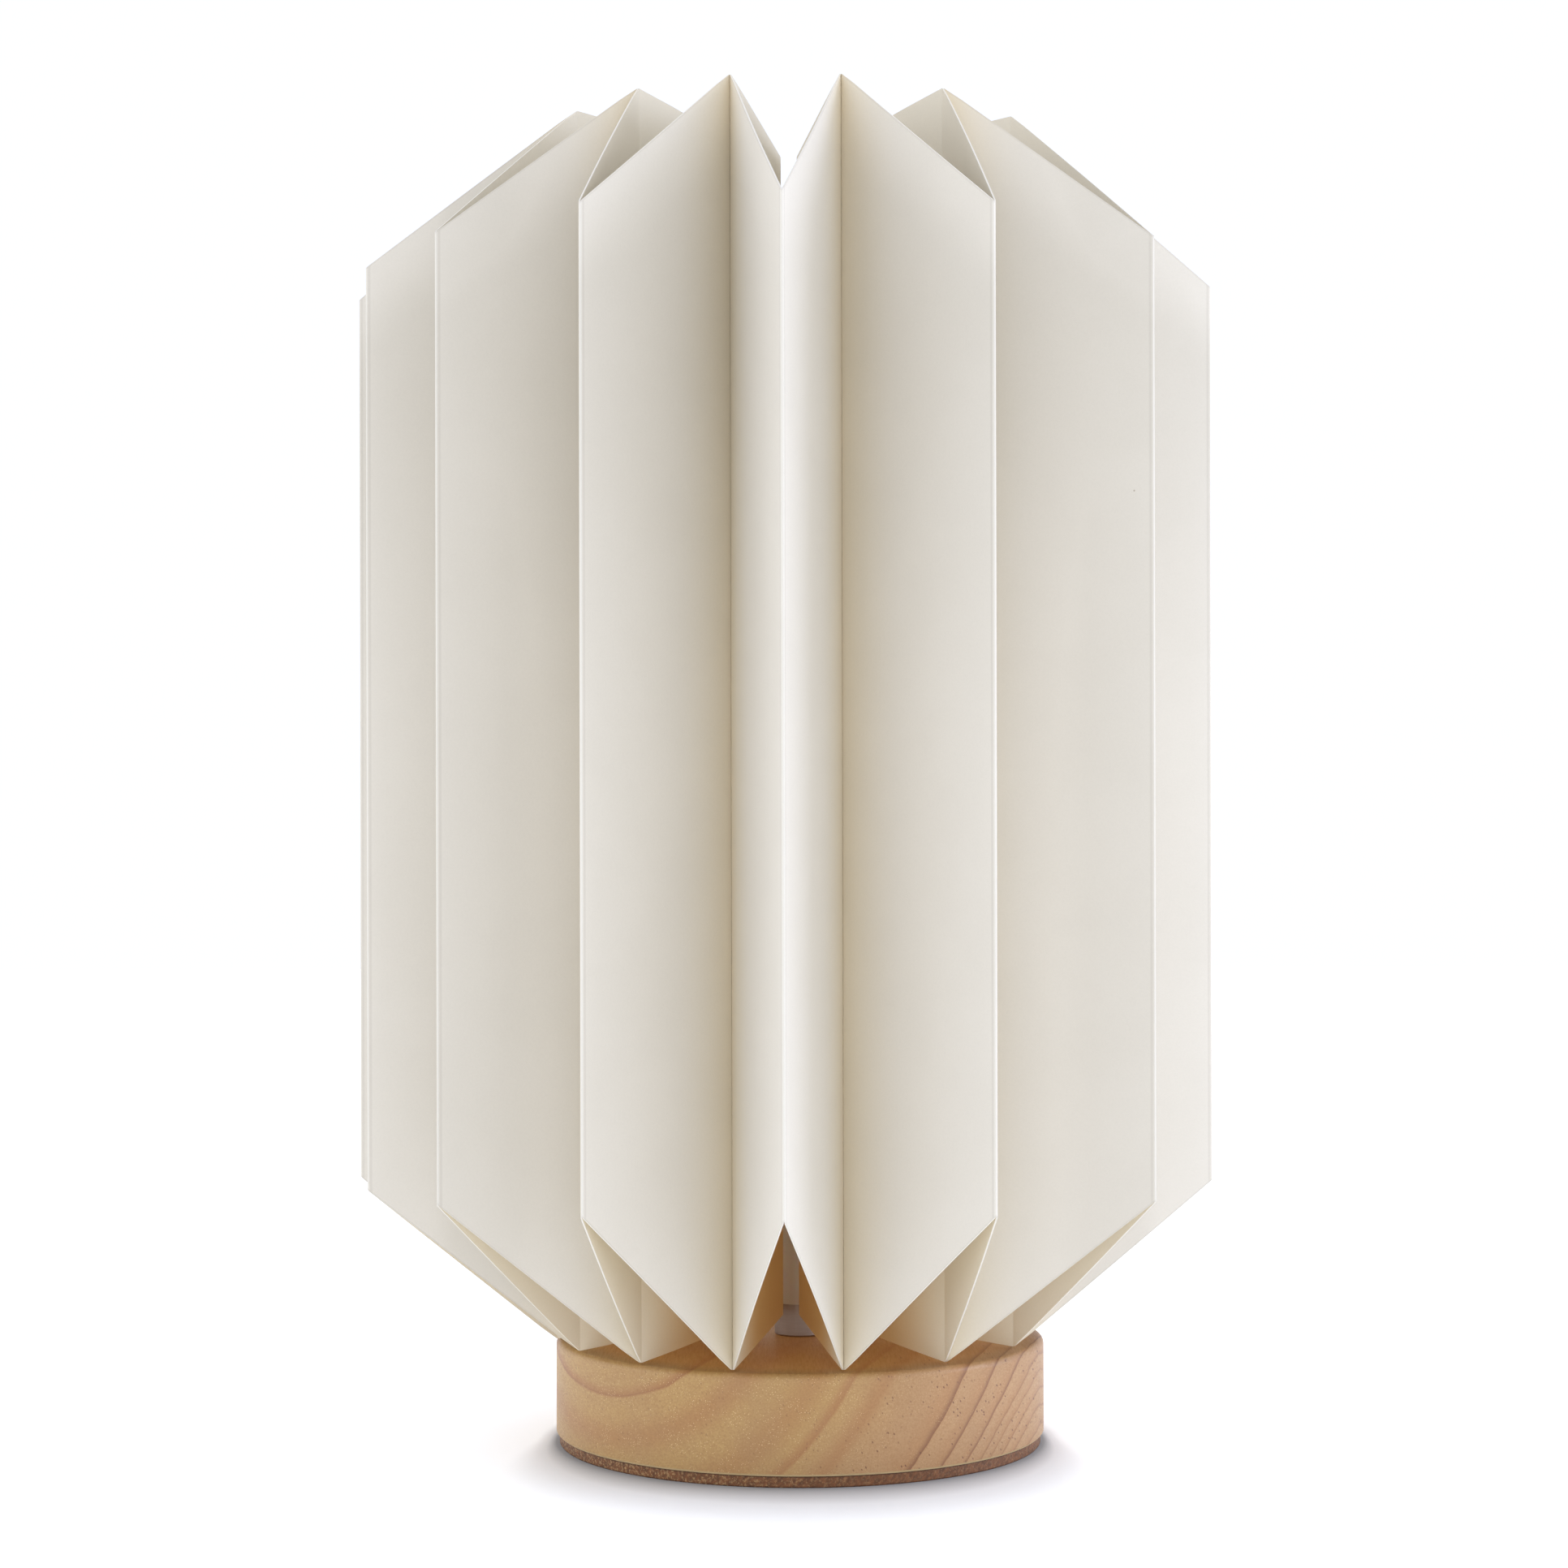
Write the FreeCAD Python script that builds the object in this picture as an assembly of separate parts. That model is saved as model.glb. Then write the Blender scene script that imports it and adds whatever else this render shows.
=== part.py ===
"""Pleated paper table lamp: a shade of folded paper leaves that stands over a slim light column
on a turned wooden base.

Millimetres. The origin is the centre of the base's underside, +Z points up, and the front is -Y.
Angles round the shade count from the front, positive to the right.
"""
import FreeCAD, Part
import math
import os

Vector = FreeCAD.Vector
UP = Vector(0, 0, 1)

# --- Base plate: the thin disc that the lamp stands on and that closes the recess
PLATE_THICKNESS = 2.7
PLATE_INSET = 0.8
PLATE_EDGE_CHAMFER = 0.3
PLATE_SCREW_COUNT = 3
PLATE_SCREW_FIRST = -90.0
PLATE_SCREW_SHANK = 3.0
PLATE_SCREW_HEAD = 6.0
PLATE_SCREW_LENGTH = 12.0
SCREW_CLEARANCE = 0.05

# --- Wooden base
BASE_DIAMETER = 120.0
WOOD_THICKNESS = 23.0
WOOD_RIM_ROUND = 1.5
WOOD_FOOT_CHAMFER = 0.5
RECESS_DIAMETER = 84.0
RECESS_DEPTH = 14.0

# --- Cable hole at the back, with its bush
CABLE_BORE = 5.2
GROMMET_WALL = 1.6
GROMMET_LENGTH = 12.0
GROMMET_FLANGE = 12.0
GROMMET_FLANGE_THICKNESS = 2.0
GROMMET_SINK = 0.6
GROMMET_FIT = 0.05
GROMMET_EDGE_CHAMFER = 0.5
CABLE_HOLE_ABOVE_PLATE = 7.5

# --- Hollow stud that clamps the column to the wood
STUD_DIAMETER = 10.0
STUD_BORE = 8.0
STUD_FIT = 0.05
STUD_THREAD_IN_FOOT = 4.5
STUD_BEYOND_NUT = 1.0
WASHER_DIAMETER = 20.0
WASHER_THICKNESS = 1.5
NUT_ACROSS_FLATS = 14.0
NUT_THICKNESS = 4.0

# --- Light column
COLUMN_DIAMETER = 12.5
COLUMN_HEIGHT = 230.0
FOOT_HEIGHT = 8.0
FOOT_WEB = 2.0
FOOT_SPIGOT = 5.0
FOOT_EDGE_CHAMFER = 0.4
TUBE_WALL = 1.0
TUBE_FIT = 0.1
CAP_THICKNESS = 2.5
CAP_SPIGOT = 5.0
CAP_EDGE_CHAMFER = 0.8
BAR_WIDTH = 6.0
BAR_THICKNESS = 2.0
BAR_TOP_GAP = 0.5
CAP_SLOT_DEPTH = 3.0
CAP_SLOT_CLEARANCE = 0.25
STRIP_WIDTH = 5.0
STRIP_THICKNESS = 0.3
STRIP_START = 4.0
CHIP_LENGTH = 2.8
CHIP_WIDTH = 3.5
CHIP_THICKNESS = 0.7
CHIP_PITCH = 10.0
CHIP_FIRST = 9.0

# --- Driver board in the recess
BOARD_LENGTH = 44.0
BOARD_WIDTH = 20.0
BOARD_THICKNESS = 1.6
BOARD_CORNER = 1.5
BOARD_WALL_GAP = 1.5
SPACER_HEIGHT = 2.0
SPACER_DIAMETER = 5.0
BOARD_SCREW_DIAMETER = 2.5
BOARD_SCREW_HEAD = 4.5
BOARD_SCREW_HEAD_HEIGHT = 1.6
BOARD_SCREW_IN_WOOD = 6.0
BOARD_SCREW_MARGIN = 3.0
TERMINAL_LENGTH = 10.0
TERMINAL_DEPTH = 8.0
TERMINAL_HEIGHT = 7.0
TERMINAL_EDGE = 0.8
TERMINAL_ENTRY = 2.0
TERMINAL_ENTRY_DEPTH = 3.0
TERMINAL_ENTRY_DROP = 5.0
TERMINAL_GAP = 0.6
INDUCTOR_DIAMETER = 9.0
INDUCTOR_WAIST = 6.0
INDUCTOR_FLANGE = 1.2
INDUCTOR_HEIGHT = 5.5
INDUCTOR_X = -12.0
CAPACITOR_DIAMETER = 8.0
CAPACITOR_HEIGHT = 8.0
CAPACITOR_EDGE = 0.8
CAPACITOR_X = 11.5
CHIP_BODY_LENGTH = 5.0
CHIP_BODY_WIDTH = 4.0
CHIP_BODY_HEIGHT = 1.5
CHIP_BODY_EDGE = 0.3
COMPONENT_ROW_GAP = 1.5

# --- Inner leads
LEAD_DIAMETER = 1.2
LEAD_SPREAD = 1.5
LEAD_BEND = 4.0
LEAD_ON_STRIP = 3.0
LEAD_HOLE_CLEARANCE = 0.15

# --- Paper shade
LEAF_COUNT = 14
FRONT_FIN_ANGLES = (-97.0, -79.5, -60.0, -37.0, -13.5, 11.5, 37.5, 65.5, 97.0)
PAPER_THICKNESS = 0.35
LEAF_HEIGHT = 293.6
FOLD_HEIGHT = 215.3
PANEL_WIDTH = 49.4
TIP_INSIDE_RIM = 1.8
FIN_INNER_RADIUS = 10.5
FIN_EDGE_DROP = 5.8
FOLD_BEND = 0.6
CREASE_BEND = 1.2
TIP_ROUND = 1.2
SHADE_SEAT = 0.3
SHADE_OFFSET_X = -2.0

# --- Places that follow from the sizes above
base_radius = BASE_DIAMETER / 2
recess_radius = RECESS_DIAMETER / 2
wood_bottom = PLATE_THICKNESS
wood_top = wood_bottom + WOOD_THICKNESS
recess_ceiling = wood_bottom + RECESS_DEPTH
plate_screw_radius = (base_radius + recess_radius) / 2
cable_z = wood_bottom + CABLE_HOLE_ABOVE_PLATE
grommet_radius = CABLE_BORE / 2 + GROMMET_WALL
grommet_face_y = base_radius - GROMMET_SINK
stud_bottom = recess_ceiling - WASHER_THICKNESS - NUT_THICKNESS - STUD_BEYOND_NUT
stud_top = wood_top + STUD_THREAD_IN_FOOT
column_radius = COLUMN_DIAMETER / 2
tube_bore_radius = column_radius - TUBE_WALL
spigot_radius = tube_bore_radius - TUBE_FIT
foot_shoulder = wood_top + FOOT_HEIGHT
web_top = stud_top + FOOT_WEB
column_top = wood_top + COLUMN_HEIGHT
cap_bottom = column_top - CAP_THICKNESS
slot_top = cap_bottom - CAP_SPIGOT + CAP_SLOT_DEPTH
strip_top = slot_top - BAR_TOP_GAP
bar_top = strip_top - STRIP_THICKNESS
strip_face = BAR_THICKNESS / 2 + STRIP_THICKNESS
lead_y = -strip_face - LEAD_DIAMETER / 2
board_top = recess_ceiling - SPACER_HEIGHT
board_bottom = board_top - BOARD_THICKNESS
board_outer_y = -math.sqrt((recess_radius - BOARD_WALL_GAP) ** 2 - (BOARD_LENGTH / 2) ** 2)
board_inner_y = board_outer_y + BOARD_WIDTH
board_y = (board_outer_y + board_inner_y) / 2
board_screw_x = BOARD_LENGTH / 2 - BOARD_SCREW_MARGIN
lead_z = board_bottom - TERMINAL_ENTRY_DROP
crease_radius = base_radius - TIP_INSIDE_RIM
shade_bottom = wood_top + SHADE_SEAT


# --- Drawing helpers

def rounded_wire(corners, radii, closed=True):
    """Straight runs through the corners, each corner rounded to its radius by a tangent arc."""
    arrivals = []
    departures = []
    arcs = []
    for index, (corner, radius) in enumerate(zip(corners, radii)):
        arc = None
        arrive = corner
        leave = corner
        if radius > 0:
            back = (corners[index - 1] - corner).normalize()
            ahead = (corners[(index + 1) % len(corners)] - corner).normalize()
            half_angle = back.getAngle(ahead) / 2
            reach = radius / math.tan(half_angle)
            inward = (back + ahead).normalize()
            arrive = corner + back * reach
            leave = corner + ahead * reach
            middle = corner + inward * (radius / math.sin(half_angle) - radius)
            arc = Part.Arc(arrive, middle, leave).toShape()
        arrivals.append(arrive)
        departures.append(leave)
        arcs.append(arc)
    edges = []
    for index, arc in enumerate(arcs):
        if arc:
            edges.append(arc)
        if closed or index + 1 < len(corners):
            run_end = arrivals[(index + 1) % len(corners)]
            edges.append(Part.makeLine(departures[index], run_end))
    return Part.Wire(edges)


def flat_face(points, radii=None):
    """A face in the XY plane from (x, y) corners."""
    corners = [Vector(x, y, 0) for x, y in points]
    return Part.Face(rounded_wire(corners, radii or [0] * len(corners)))


def turned(points, radii=None):
    """A solid of revolution about +Z from (radius, height) corners."""
    corners = [Vector(radius, 0, height) for radius, height in points]
    profile = Part.Face(rounded_wire(corners, radii or [0] * len(corners)))
    return profile.revolve(Vector(), UP, 360)


def cylinder(radius, bottom, top, x=0, y=0):
    """An upright cylinder between two heights."""
    return Part.makeCylinder(radius, top - bottom, Vector(x, y, bottom), UP)


def block(length, width, bottom, top, x=0, y=0):
    """An upright block centred on x, y between two heights."""
    corner = Vector(x - length / 2, y - width / 2, bottom)
    return Part.makeBox(length, width, top - bottom, corner)


def compass(radius, angle, height=0):
    """The point at a radius and an angle, counted from +X."""
    turn = math.radians(angle)
    return Vector(radius * math.cos(turn), radius * math.sin(turn), height)


def group(solids):
    """Separate solids of one kind in one node."""
    return Part.makeCompound(solids)


# --- Base

def plate_screw_angles():
    """The plate's screws stand evenly round the rim, the first at the front."""
    return [PLATE_SCREW_FIRST + 360 / PLATE_SCREW_COUNT * turn for turn in range(PLATE_SCREW_COUNT)]


def plate_screw():
    """A countersunk wood screw on the Z axis, its head flush with the plate's underside."""
    head = PLATE_SCREW_HEAD / 2
    shank = PLATE_SCREW_SHANK / 2
    end = PLATE_SCREW_LENGTH
    return turned([(0, 0), (head, 0), (shank, head - shank), (shank, end - shank), (0, end)])


def plate_screw_hole():
    """The countersink in the plate and the flat-ended pilot hole in the wood."""
    head = PLATE_SCREW_HEAD / 2 + SCREW_CLEARANCE
    shank = PLATE_SCREW_SHANK / 2 + SCREW_CLEARANCE
    end = PLATE_SCREW_LENGTH + SCREW_CLEARANCE
    return turned([(0, 0), (head, 0), (shank, head - shank), (shank, end), (0, end)])


def plate_screws():
    """The screws that hold the plate."""
    screws = []
    for angle in plate_screw_angles():
        screw = plate_screw()
        screw.translate(compass(plate_screw_radius, angle))
        screws.append(screw)
    return group(screws)


def drill_plate_screws(solid):
    """Cuts the screws' countersinks and pilot holes."""
    for angle in plate_screw_angles():
        hole = plate_screw_hole()
        hole.translate(compass(plate_screw_radius, angle))
        solid = solid.cut(hole)
    return solid


def base_plate():
    """The disc under the wood, its lower edge chamfered."""
    radius = base_radius - PLATE_INSET
    disc = turned([
        (0, 0),
        (radius - PLATE_EDGE_CHAMFER, 0),
        (radius, PLATE_EDGE_CHAMFER),
        (radius, PLATE_THICKNESS),
        (0, PLATE_THICKNESS),
    ])
    return drill_plate_screws(disc)


def wood_base():
    """The turned disc, with the recess, the stud's hole, the cable hole and the screw holes."""
    stud_hole = STUD_DIAMETER / 2 + STUD_FIT
    outline = [
        (stud_hole, recess_ceiling),
        (recess_radius, recess_ceiling),
        (recess_radius, wood_bottom),
        (base_radius - WOOD_FOOT_CHAMFER, wood_bottom),
        (base_radius, wood_bottom + WOOD_FOOT_CHAMFER),
        (base_radius, wood_top),
        (stud_hole, wood_top),
    ]
    disc = turned(outline, [0, 0, 0, 0, 0, WOOD_RIM_ROUND, 0])
    back = Vector(0, 1, 0)
    hole_start = Vector(0, recess_radius - grommet_radius, cable_z)
    hole = Part.makeCylinder(grommet_radius + GROMMET_FIT, base_radius, hole_start, back)
    seat_start = Vector(0, grommet_face_y - GROMMET_FLANGE_THICKNESS, cable_z)
    seat = Part.makeCylinder(GROMMET_FLANGE / 2 + GROMMET_FIT, base_radius, seat_start, back)
    disc = disc.cut(hole).cut(seat)
    for x in (-board_screw_x, board_screw_x):
        pilot_radius = BOARD_SCREW_DIAMETER / 2 + SCREW_CLEARANCE
        pilot_top = recess_ceiling + BOARD_SCREW_IN_WOOD + SCREW_CLEARANCE
        disc = disc.cut(cylinder(pilot_radius, recess_ceiling, pilot_top, x, board_y))
    return drill_plate_screws(disc)


def cable_grommet():
    """The flanged bush in the cable hole, its bore open from the back to the recess."""
    bore = CABLE_BORE / 2
    flange = GROMMET_FLANGE / 2
    shoulder = GROMMET_LENGTH - GROMMET_FLANGE_THICKNESS
    chamfer = GROMMET_EDGE_CHAMFER
    bush = turned([
        (bore, 0),
        (grommet_radius - chamfer, 0),
        (grommet_radius, chamfer),
        (grommet_radius, shoulder),
        (flange, shoulder),
        (flange, GROMMET_LENGTH - chamfer),
        (flange - chamfer, GROMMET_LENGTH),
        (bore + chamfer, GROMMET_LENGTH),
        (bore, GROMMET_LENGTH - chamfer),
    ])
    bush.rotate(Vector(), Vector(1, 0, 0), -90)
    bush.translate(Vector(0, grommet_face_y - GROMMET_LENGTH, cable_z))
    return bush


# --- Stud

def mounting_stud():
    """The hollow stud from the recess up into the column's foot."""
    rod = cylinder(STUD_DIAMETER / 2, stud_bottom, stud_top)
    return rod.cut(cylinder(STUD_BORE / 2, stud_bottom, stud_top))


def stud_washer():
    """The washer against the recess's ceiling."""
    bottom = recess_ceiling - WASHER_THICKNESS
    disc = cylinder(WASHER_DIAMETER / 2, bottom, recess_ceiling)
    return disc.cut(cylinder(STUD_DIAMETER / 2 + STUD_FIT, bottom, recess_ceiling))


def stud_nut():
    """The hexagon nut under the washer, with its corners turned off."""
    top = recess_ceiling - WASHER_THICKNESS
    bottom = top - NUT_THICKNESS
    corner_radius = NUT_ACROSS_FLATS / 2 / math.cos(math.radians(30))
    corners = [compass(corner_radius, 60 * side, bottom) for side in range(6)]
    prism = Part.Face(rounded_wire(corners, [0] * 6)).extrude(UP * NUT_THICKNESS)
    chamfer = corner_radius - NUT_ACROSS_FLATS / 2
    bell = turned([
        (0, bottom),
        (corner_radius - chamfer, bottom),
        (corner_radius, bottom + chamfer),
        (corner_radius, top - chamfer),
        (corner_radius - chamfer, top),
        (0, top),
    ])
    return prism.common(bell).cut(cylinder(STUD_DIAMETER / 2 + STUD_FIT, bottom, top))


# --- Light column

def column_foot():
    """The foot that screws onto the stud, with a web for the bar and a spigot for the tube."""
    thread = STUD_DIAMETER / 2 + STUD_FIT
    inside = STUD_BORE / 2
    web_bottom = stud_top
    spigot_top = foot_shoulder + FOOT_SPIGOT
    foot = turned([
        (0, web_bottom),
        (thread, web_bottom),
        (thread, wood_top),
        (column_radius - FOOT_EDGE_CHAMFER, wood_top),
        (column_radius, wood_top + FOOT_EDGE_CHAMFER),
        (column_radius, foot_shoulder),
        (spigot_radius, foot_shoulder),
        (spigot_radius, spigot_top - FOOT_EDGE_CHAMFER),
        (spigot_radius - FOOT_EDGE_CHAMFER, spigot_top),
        (inside, spigot_top),
        (inside, web_top),
        (0, web_top),
    ])
    hole_radius = LEAD_DIAMETER / 2 + LEAD_HOLE_CLEARANCE
    for x in (-LEAD_SPREAD, LEAD_SPREAD):
        foot = foot.cut(cylinder(hole_radius, web_bottom, web_top, x, lead_y))
    return foot


def light_bar():
    """The flat metal bar that carries the strip, standing on the foot's web."""
    return block(BAR_WIDTH, BAR_THICKNESS, web_top, bar_top)


def led_strip():
    """One flexible strip: up the bar's front, over its top and down its back."""
    bottom = web_top + STRIP_START
    outer = block(STRIP_WIDTH, 2 * strip_face, bottom, strip_top)
    return outer.cut(block(STRIP_WIDTH, BAR_THICKNESS, bottom, bar_top))


def led_chips():
    """The light emitters, in one row on each face of the strip."""
    start = web_top + CHIP_FIRST
    end = cap_bottom - CAP_SPIGOT - CHIP_LENGTH
    row = int((end - start) / CHIP_PITCH) + 1
    chips = []
    for side in (-1, 1):
        y = side * (strip_face + CHIP_THICKNESS / 2)
        for place in range(row):
            z = start + CHIP_PITCH * place
            chips.append(block(CHIP_WIDTH, CHIP_THICKNESS, z, z + CHIP_LENGTH, 0, y))
    return group(chips)


def diffuser_tube():
    """The frosted tube from the foot's shoulder to the cap."""
    tube = cylinder(column_radius, foot_shoulder, cap_bottom)
    return tube.cut(cylinder(tube_bore_radius, foot_shoulder, cap_bottom))


def tube_cap():
    """The cap on the tube, with a slot in its spigot for the bar's top."""
    spigot_bottom = cap_bottom - CAP_SPIGOT
    cap = turned([
        (0, spigot_bottom),
        (spigot_radius, spigot_bottom),
        (spigot_radius, cap_bottom),
        (column_radius, cap_bottom),
        (column_radius, column_top - CAP_EDGE_CHAMFER),
        (column_radius - CAP_EDGE_CHAMFER, column_top),
        (0, column_top),
    ])
    slot_length = BAR_WIDTH + 2 * CAP_SLOT_CLEARANCE
    slot_width = 2 * strip_face + 2 * CAP_SLOT_CLEARANCE
    return cap.cut(block(slot_length, slot_width, spigot_bottom, slot_top))


# --- Driver board

def driver_board():
    """The circuit board under the recess's ceiling."""
    half_length = BOARD_LENGTH / 2
    corners = [
        (-half_length, board_outer_y),
        (half_length, board_outer_y),
        (half_length, board_inner_y),
        (-half_length, board_inner_y),
    ]
    board = flat_face(corners, [BOARD_CORNER] * 4).extrude(UP * BOARD_THICKNESS)
    board.translate(UP * board_bottom)
    hole_radius = BOARD_SCREW_DIAMETER / 2 + SCREW_CLEARANCE
    for x in (-board_screw_x, board_screw_x):
        board = board.cut(cylinder(hole_radius, board_bottom, board_top, x, board_y))
    return board


def board_spacers():
    """The spacers between the board and the wood."""
    spacers = []
    hole_radius = BOARD_SCREW_DIAMETER / 2 + SCREW_CLEARANCE
    for x in (-board_screw_x, board_screw_x):
        spacer = cylinder(SPACER_DIAMETER / 2, board_top, recess_ceiling, x, board_y)
        spacers.append(spacer.cut(cylinder(hole_radius, board_top, recess_ceiling, x, board_y)))
    return group(spacers)


def board_screws():
    """The pan-head screws that hold the board."""
    screws = []
    shank = BOARD_SCREW_DIAMETER / 2
    head = BOARD_SCREW_HEAD / 2
    head_bottom = board_bottom - BOARD_SCREW_HEAD_HEIGHT
    tip = recess_ceiling + BOARD_SCREW_IN_WOOD
    chamfer = BOARD_SCREW_HEAD_HEIGHT / 2
    outline = [(0, head_bottom), (head - chamfer, head_bottom), (head, head_bottom + chamfer)]
    outline += [(head, board_bottom), (shank, board_bottom), (shank, tip - shank), (0, tip)]
    for x in (-board_screw_x, board_screw_x):
        screw = turned(outline)
        screw.translate(Vector(x, board_y, 0))
        screws.append(screw)
    return group(screws)


def terminal(x, pole_spread):
    """A two-pole terminal block under the board's inner edge, its wire entries towards the column."""
    y = board_inner_y - TERMINAL_DEPTH / 2
    bottom = board_bottom - TERMINAL_HEIGHT
    body = block(TERMINAL_LENGTH, TERMINAL_DEPTH, bottom, board_bottom, x, y)
    lower_edges = [edge for edge in body.Edges if edge.BoundBox.ZMax < bottom + TERMINAL_EDGE]
    body = body.makeChamfer(TERMINAL_EDGE, lower_edges)
    for pole in (-pole_spread, pole_spread):
        start = Vector(x + pole, board_inner_y - TERMINAL_ENTRY_DEPTH, lead_z)
        entry = Part.makeCylinder(TERMINAL_ENTRY / 2, TERMINAL_ENTRY_DEPTH, start, Vector(0, 1, 0))
        body = body.cut(entry)
    return body


def output_terminal():
    """The block that feeds the light source."""
    return terminal(0, LEAD_SPREAD)


def input_terminal():
    """The block that takes the supply, beside the output block."""
    return terminal(TERMINAL_LENGTH + TERMINAL_GAP, LEAD_SPREAD)


def component_row_y():
    """The row of tall components between the terminals and the board's outer edge."""
    return board_outer_y + COMPONENT_ROW_GAP + INDUCTOR_DIAMETER / 2


def inductor():
    """A drum-core coil."""
    waist = INDUCTOR_WAIST / 2
    flange = INDUCTOR_DIAMETER / 2
    bottom = board_bottom - INDUCTOR_HEIGHT
    drum = turned([
        (0, bottom),
        (flange, bottom),
        (flange, bottom + INDUCTOR_FLANGE),
        (waist, bottom + INDUCTOR_FLANGE),
        (waist, board_bottom - INDUCTOR_FLANGE),
        (flange, board_bottom - INDUCTOR_FLANGE),
        (flange, board_bottom),
        (0, board_bottom),
    ])
    drum.translate(Vector(INDUCTOR_X, component_row_y(), 0))
    return drum


def capacitor():
    """An upright can with a chamfered lower rim."""
    bottom = board_bottom - CAPACITOR_HEIGHT
    radius = CAPACITOR_DIAMETER / 2
    can = turned([
        (0, bottom),
        (radius - CAPACITOR_EDGE, bottom),
        (radius, bottom + CAPACITOR_EDGE),
        (radius, board_bottom),
        (0, board_bottom),
    ])
    can.translate(Vector(CAPACITOR_X, component_row_y(), 0))
    return can


def driver_chip():
    """The flat controller chip between the coil and the can."""
    bottom = board_bottom - CHIP_BODY_HEIGHT
    y = component_row_y()
    chip = block(CHIP_BODY_LENGTH, CHIP_BODY_WIDTH, bottom, board_bottom, 0, y)
    lower_edges = [edge for edge in chip.Edges if edge.BoundBox.ZMax < bottom + CHIP_BODY_EDGE]
    return chip.makeChamfer(CHIP_BODY_EDGE, lower_edges)


def lead(side):
    """One inner lead: from the output terminal, up the stud and the web's hole, onto the strip."""
    x = side * LEAD_SPREAD
    start = Vector(x, board_inner_y - TERMINAL_ENTRY_DEPTH, lead_z)
    corner = Vector(x, lead_y, lead_z)
    end = Vector(x, lead_y, web_top + STRIP_START + LEAD_ON_STRIP)
    path = rounded_wire([start, corner, end], [0, LEAD_BEND, 0], closed=False)
    ring = Part.Wire(Part.makeCircle(LEAD_DIAMETER / 2, start, Vector(0, 1, 0)))
    return path.makePipeShell([ring], True, False)


# --- Shade

def fin_angles():
    """The fins' angles: set by hand round the front, evenly spaced over the rest of the circle."""
    first = FRONT_FIN_ANGLES[0] + 360
    last = FRONT_FIN_ANGLES[-1]
    rest = LEAF_COUNT - len(FRONT_FIN_ANGLES)
    step = (first - last) / (rest + 1)
    return list(FRONT_FIN_ANGLES) + [last + step * (place + 1) for place in range(rest)]


def sheet_section(line, bends, thickness):
    """The section of a folded sheet: its outer line, and the same line one thickness to the left."""
    inner = []
    for index, point in enumerate(line):
        before = point - line[index - 1] if index > 0 else line[1] - point
        after = line[index + 1] - point if index + 1 < len(line) else before
        before.normalize()
        after = Vector(after).normalize()
        left_before = UP.cross(before)
        left_after = UP.cross(after)
        mitre = (left_before + left_after).normalize()
        inner.append(point + mitre * (thickness / mitre.dot(left_before)))
    inner_bends = [max(bend - thickness, 0) for bend in bends]
    return Part.Face(rounded_wire(line + inner[::-1], bends + inner_bends[::-1]))


def leaf(left_fin, right_fin):
    """One folded sheet between two fins: a flap, a panel, the outer fold, a panel and a flap."""
    half = math.radians(right_fin - left_fin) / 2
    crease_u = crease_radius * math.cos(half)
    crease_v = crease_radius * math.sin(half)
    crown_u = crease_u + math.sqrt(PANEL_WIDTH ** 2 - crease_v ** 2)
    opening = math.atan2(crease_v, crown_u - crease_u)
    fold_u = crown_u + FOLD_BEND * (1 / math.sin(opening) - 1)
    end_u = FIN_INNER_RADIUS * math.cos(half)
    end_v = FIN_INNER_RADIUS * math.sin(half)
    line = [
        Vector(end_u, -end_v, 0),
        Vector(crease_u, -crease_v, 0),
        Vector(fold_u, 0, 0),
        Vector(crease_u, crease_v, 0),
        Vector(end_u, end_v, 0),
    ]
    section = sheet_section(line, [0, CREASE_BEND, FOLD_BEND, CREASE_BEND, 0], PAPER_THICKNESS)
    sheet = section.extrude(UP * LEAF_HEIGHT)

    fin_slope = FIN_EDGE_DROP / (crease_radius - FIN_INNER_RADIUS)
    axis_drop = fin_slope * crease_radius
    fold_drop = (LEAF_HEIGHT - FOLD_HEIGHT) / 2
    far_drop = fold_drop * (fold_u - crease_u) / (crown_u - crease_u)
    lower = [(0, axis_drop), (crease_u, 0), (fold_u, far_drop)]
    upper = [(u, LEAF_HEIGHT - drop) for u, drop in lower]
    corners = [Vector(u, -crease_v, z) for u, z in lower + upper[::-1]]
    tips = [0, TIP_ROUND, 0, 0, TIP_ROUND, 0]
    side_view = Part.Face(rounded_wire(corners, tips)).extrude(Vector(0, 2 * crease_v, 0))

    solid = sheet.common(side_view).Solids[0]
    solid.rotate(Vector(), UP, (left_fin + right_fin) / 2 - 90)
    solid.translate(Vector(SHADE_OFFSET_X, 0, shade_bottom))
    return solid


def leaves():
    """All leaves round the shade, named in the order that they stand."""
    fins = fin_angles()
    sheets = {}
    for place, left_fin in enumerate(fins):
        right_fin = fins[place + 1] if place + 1 < len(fins) else fins[0] + 360
        sheets["leaf_%02d" % (place + 1)] = leaf(left_fin, right_fin)
    return sheets


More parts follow.
